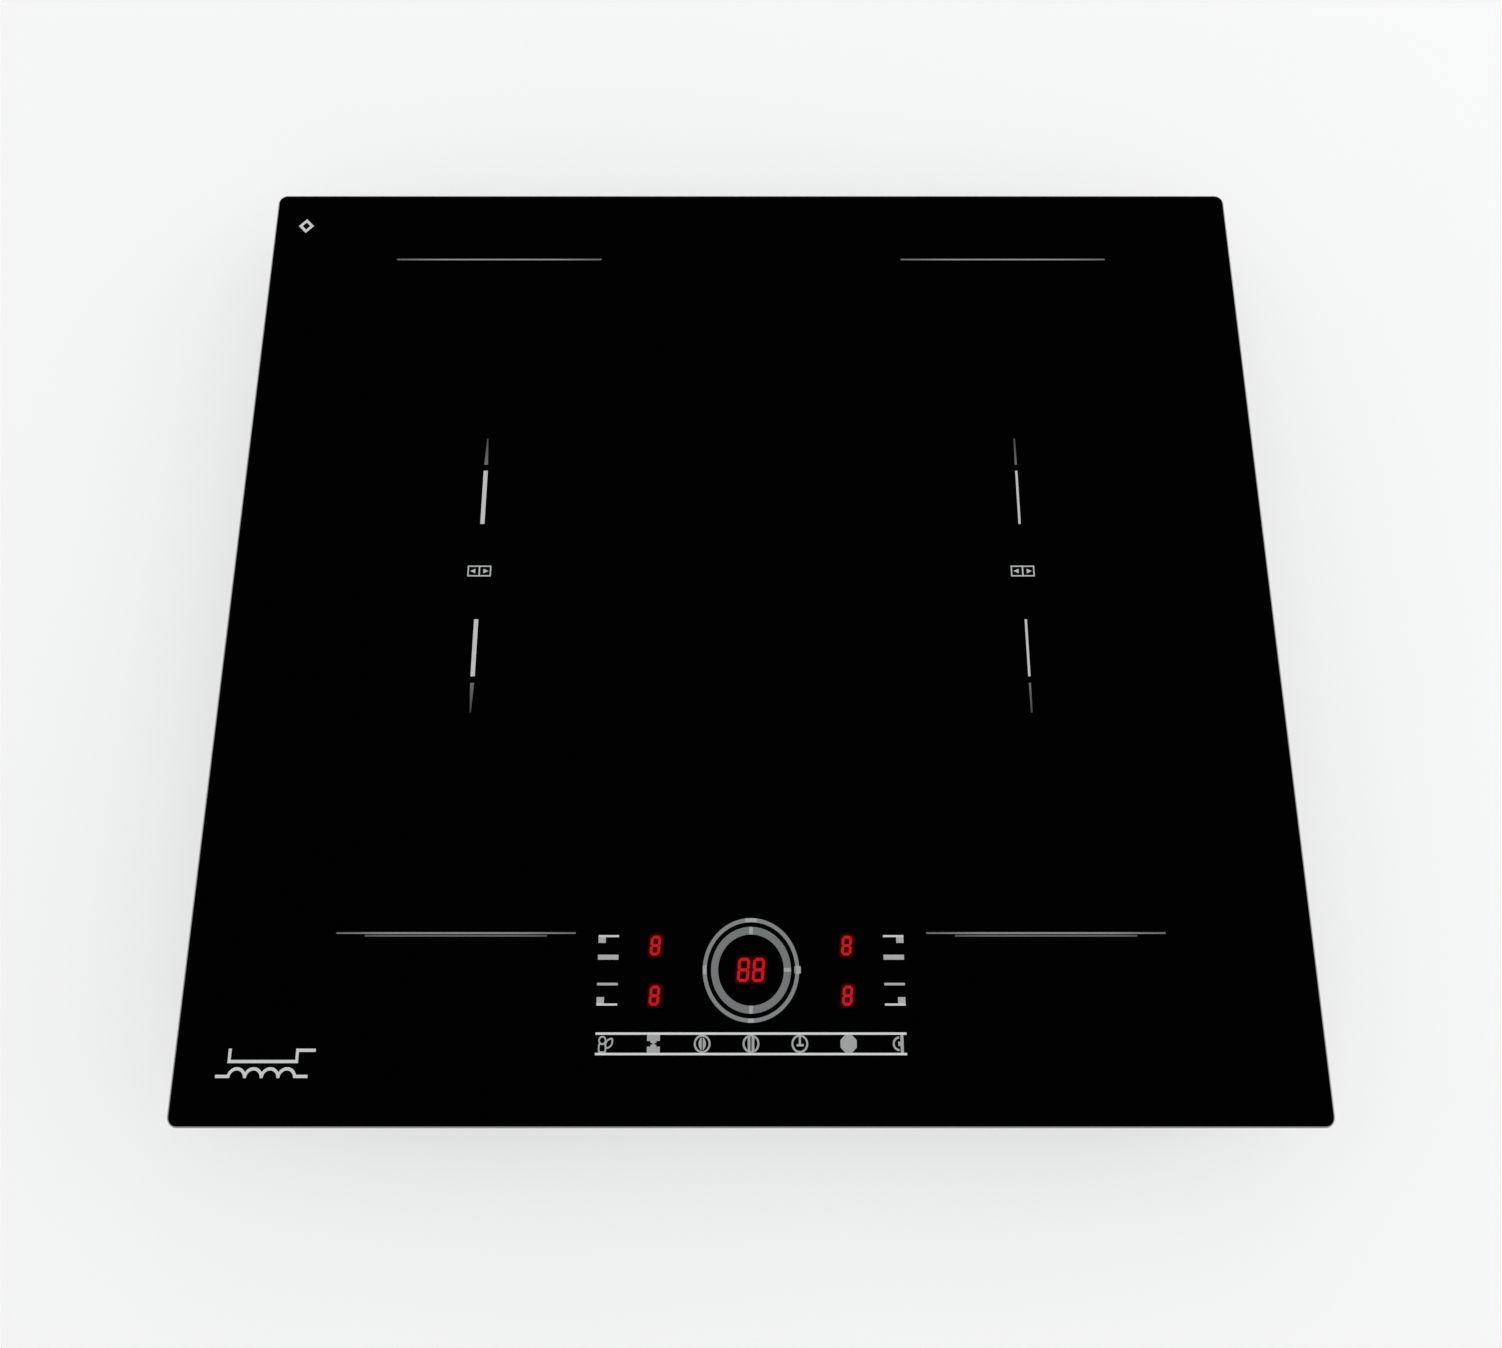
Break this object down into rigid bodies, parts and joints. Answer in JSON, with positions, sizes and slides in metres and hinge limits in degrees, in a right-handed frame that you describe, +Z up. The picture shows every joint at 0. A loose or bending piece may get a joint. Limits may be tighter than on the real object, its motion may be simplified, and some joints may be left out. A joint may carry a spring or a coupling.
{
  "type": "induction cooktop",
  "caption": "Built-in black glass induction cooktop with two bridging zones, front touch controls, radial cooling fans, a terminal hatch and swing-out worktop clamps.",
  "frame": {"origin": "middle of the glass in plan, on the surface that the case's feet stand on", "axes": "+X to the right as seen by the cook, +Y to the back edge, +Z up; the controls are at -Y"},
  "size_m": [0.59, 0.52, 0.0561],
  "materials": {
    "black_glass": "gloss, ground edge",
    "grey_ink": "fired ceramic ink",
    "ring_ink": "fired ceramic ink",
    "seal_foam": "closed-cell foam",
    "galvanised_steel": "zinc spangle",
    "plated_steel": "bright zinc plating",
    "spring_steel": "drawn wire",
    "aluminium_sheet": "rolled",
    "aluminium_extrusion": "extruded",
    "litz_copper": "enamelled strands",
    "choke_copper": "enamelled wire",
    "black_plastic": "moulded",
    "grey_plastic": "moulded",
    "fan_plastic": "moulded, satin",
    "ferrite": "ground",
    "mineral_mat": "pressed fibre",
    "sensor_silicone": "silicone",
    "circuit_green": "solder mask",
    "circuit_black": "solder mask",
    "capacitor_plastic": "potted case",
    "component_epoxy": "moulded epoxy",
    "terminal_plastic": "moulded",
    "terminal_brass": "turned",
    "display_plastic": "moulded",
    "touch_foam": "conductive foam",
    "ribbon_plastic": "flat cable",
    "red_sleeve": "glass-fibre sleeve",
    "brown_sleeve": "insulated wire",
    "grommet_rubber": "matt"
  },
  "bodies": {
    "root": {"glass_plate": "black_glass", "zone_print": "grey_ink", "control_print": "grey_ink", "slider_print": "ring_ink", "rim_seal": "seal_foam", "support_frame": "galvanised_steel", "bottom_tray": "galvanised_steel", "coil_winding_rear_left": "litz_copper", "coil_winding_front_left": "litz_copper", "coil_winding_rear_right": "litz_copper", "coil_winding_front_right": "litz_copper", "coil_former_rear_left": "black_plastic", "coil_former_front_left": "black_plastic", "coil_former_rear_right": "black_plastic", "coil_former_front_right": "black_plastic", "ferrite_bars": "ferrite", "insulation_mats": "mineral_mat", "temperature_sensors": "sensor_silicone", "coil_plate_left": "aluminium_sheet", "coil_plate_right": "aluminium_sheet", "plate_springs": "spring_steel", "board_carrier_left": "grey_plastic", "board_carrier_right": "grey_plastic", "power_board_left": "circuit_green", "power_board_right": "circuit_green", "heatsink_left": "aluminium_extrusion", "heatsink_right": "aluminium_extrusion", "power_transistors": "component_epoxy", "board_capacitors": "capacitor_plastic", "choke_coils": "choke_copper", "fan_housing_left": "grey_plastic", "fan_housing_right": "grey_plastic", "fan_motors": "plated_steel", "filter_board": "circuit_green", "terminal_box": "grey_plastic", "terminal_block": "terminal_plastic", "terminal_screws": "terminal_brass", "cable_gland": "grommet_rubber", "control_carrier": "grey_plastic", "control_board": "circuit_black", "display_modules": "display_plastic", "touch_pads": "touch_foam", "control_ribbon": "ribbon_plastic", "coil_leads": "red_sleeve", "mains_leads": "brown_sleeve", "case_screws": "plated_steel", "clamp_screws": "plated_steel"},
    "fan_left": {"fan_rotor_left": "fan_plastic", "fan_shaft_left": "plated_steel"},
    "fan_right": {"fan_rotor_right": "fan_plastic", "fan_shaft_right": "plated_steel"},
    "hatch_cover": {"terminal_cover": "black_plastic"},
    "collar_rear_left": {"clamp_collar_rear_left": "plated_steel"},
    "collar_front_left": {"clamp_collar_front_left": "plated_steel"},
    "collar_rear_right": {"clamp_collar_rear_right": "plated_steel"},
    "collar_front_right": {"clamp_collar_front_right": "plated_steel"},
    "arm_rear_left": {"clamp_arm_rear_left": "galvanised_steel"},
    "arm_front_left": {"clamp_arm_front_left": "galvanised_steel"},
    "arm_rear_right": {"clamp_arm_rear_right": "galvanised_steel"},
    "arm_front_right": {"clamp_arm_front_right": "galvanised_steel"}
  },
  "joints": [
    {"name": "fan_spin_left", "type": "hinge", "parent": "root", "child": "fan_left", "pos_m": [-0.1555, 0.19, 0.02], "axis": [0, 0, 1], "continuous": true},
    {"name": "fan_spin_right", "type": "hinge", "parent": "root", "child": "fan_right", "pos_m": [0.1555, 0.19, 0.02], "axis": [0, 0, 1], "continuous": true},
    {"name": "hatch_open", "type": "hinge", "parent": "root", "child": "hatch_cover", "pos_m": [-0.014, 0.1755, 0.003], "axis": [-1, 0, 0], "range_deg": [0, 95]},
    {"name": "lift_rear_left", "type": "slide", "parent": "root", "child": "collar_rear_left", "axis": [0, 0, 1], "range_m": [0, 0.022]},
    {"name": "lift_front_left", "type": "slide", "parent": "root", "child": "collar_front_left", "axis": [0, 0, 1], "range_m": [0, 0.022]},
    {"name": "lift_rear_right", "type": "slide", "parent": "root", "child": "collar_rear_right", "axis": [0, 0, 1], "range_m": [0, 0.022]},
    {"name": "lift_front_right", "type": "slide", "parent": "root", "child": "collar_front_right", "axis": [0, 0, 1], "range_m": [0, 0.022]},
    {"name": "swing_rear_left", "type": "hinge", "parent": "collar_rear_left", "child": "arm_rear_left", "pos_m": [-0.269, 0.231, 0.009], "axis": [0, 0, -1], "range_deg": [0, 90]},
    {"name": "swing_front_left", "type": "hinge", "parent": "collar_front_left", "child": "arm_front_left", "pos_m": [-0.269, -0.231, 0.009], "axis": [0, 0, 1], "range_deg": [0, 90]},
    {"name": "swing_rear_right", "type": "hinge", "parent": "collar_rear_right", "child": "arm_rear_right", "pos_m": [0.269, 0.231, 0.009], "axis": [0, 0, 1], "range_deg": [0, 90]},
    {"name": "swing_front_right", "type": "hinge", "parent": "collar_front_right", "child": "arm_front_right", "pos_m": [0.269, -0.231, 0.009], "axis": [0, 0, -1], "range_deg": [0, 90]}
  ]
}
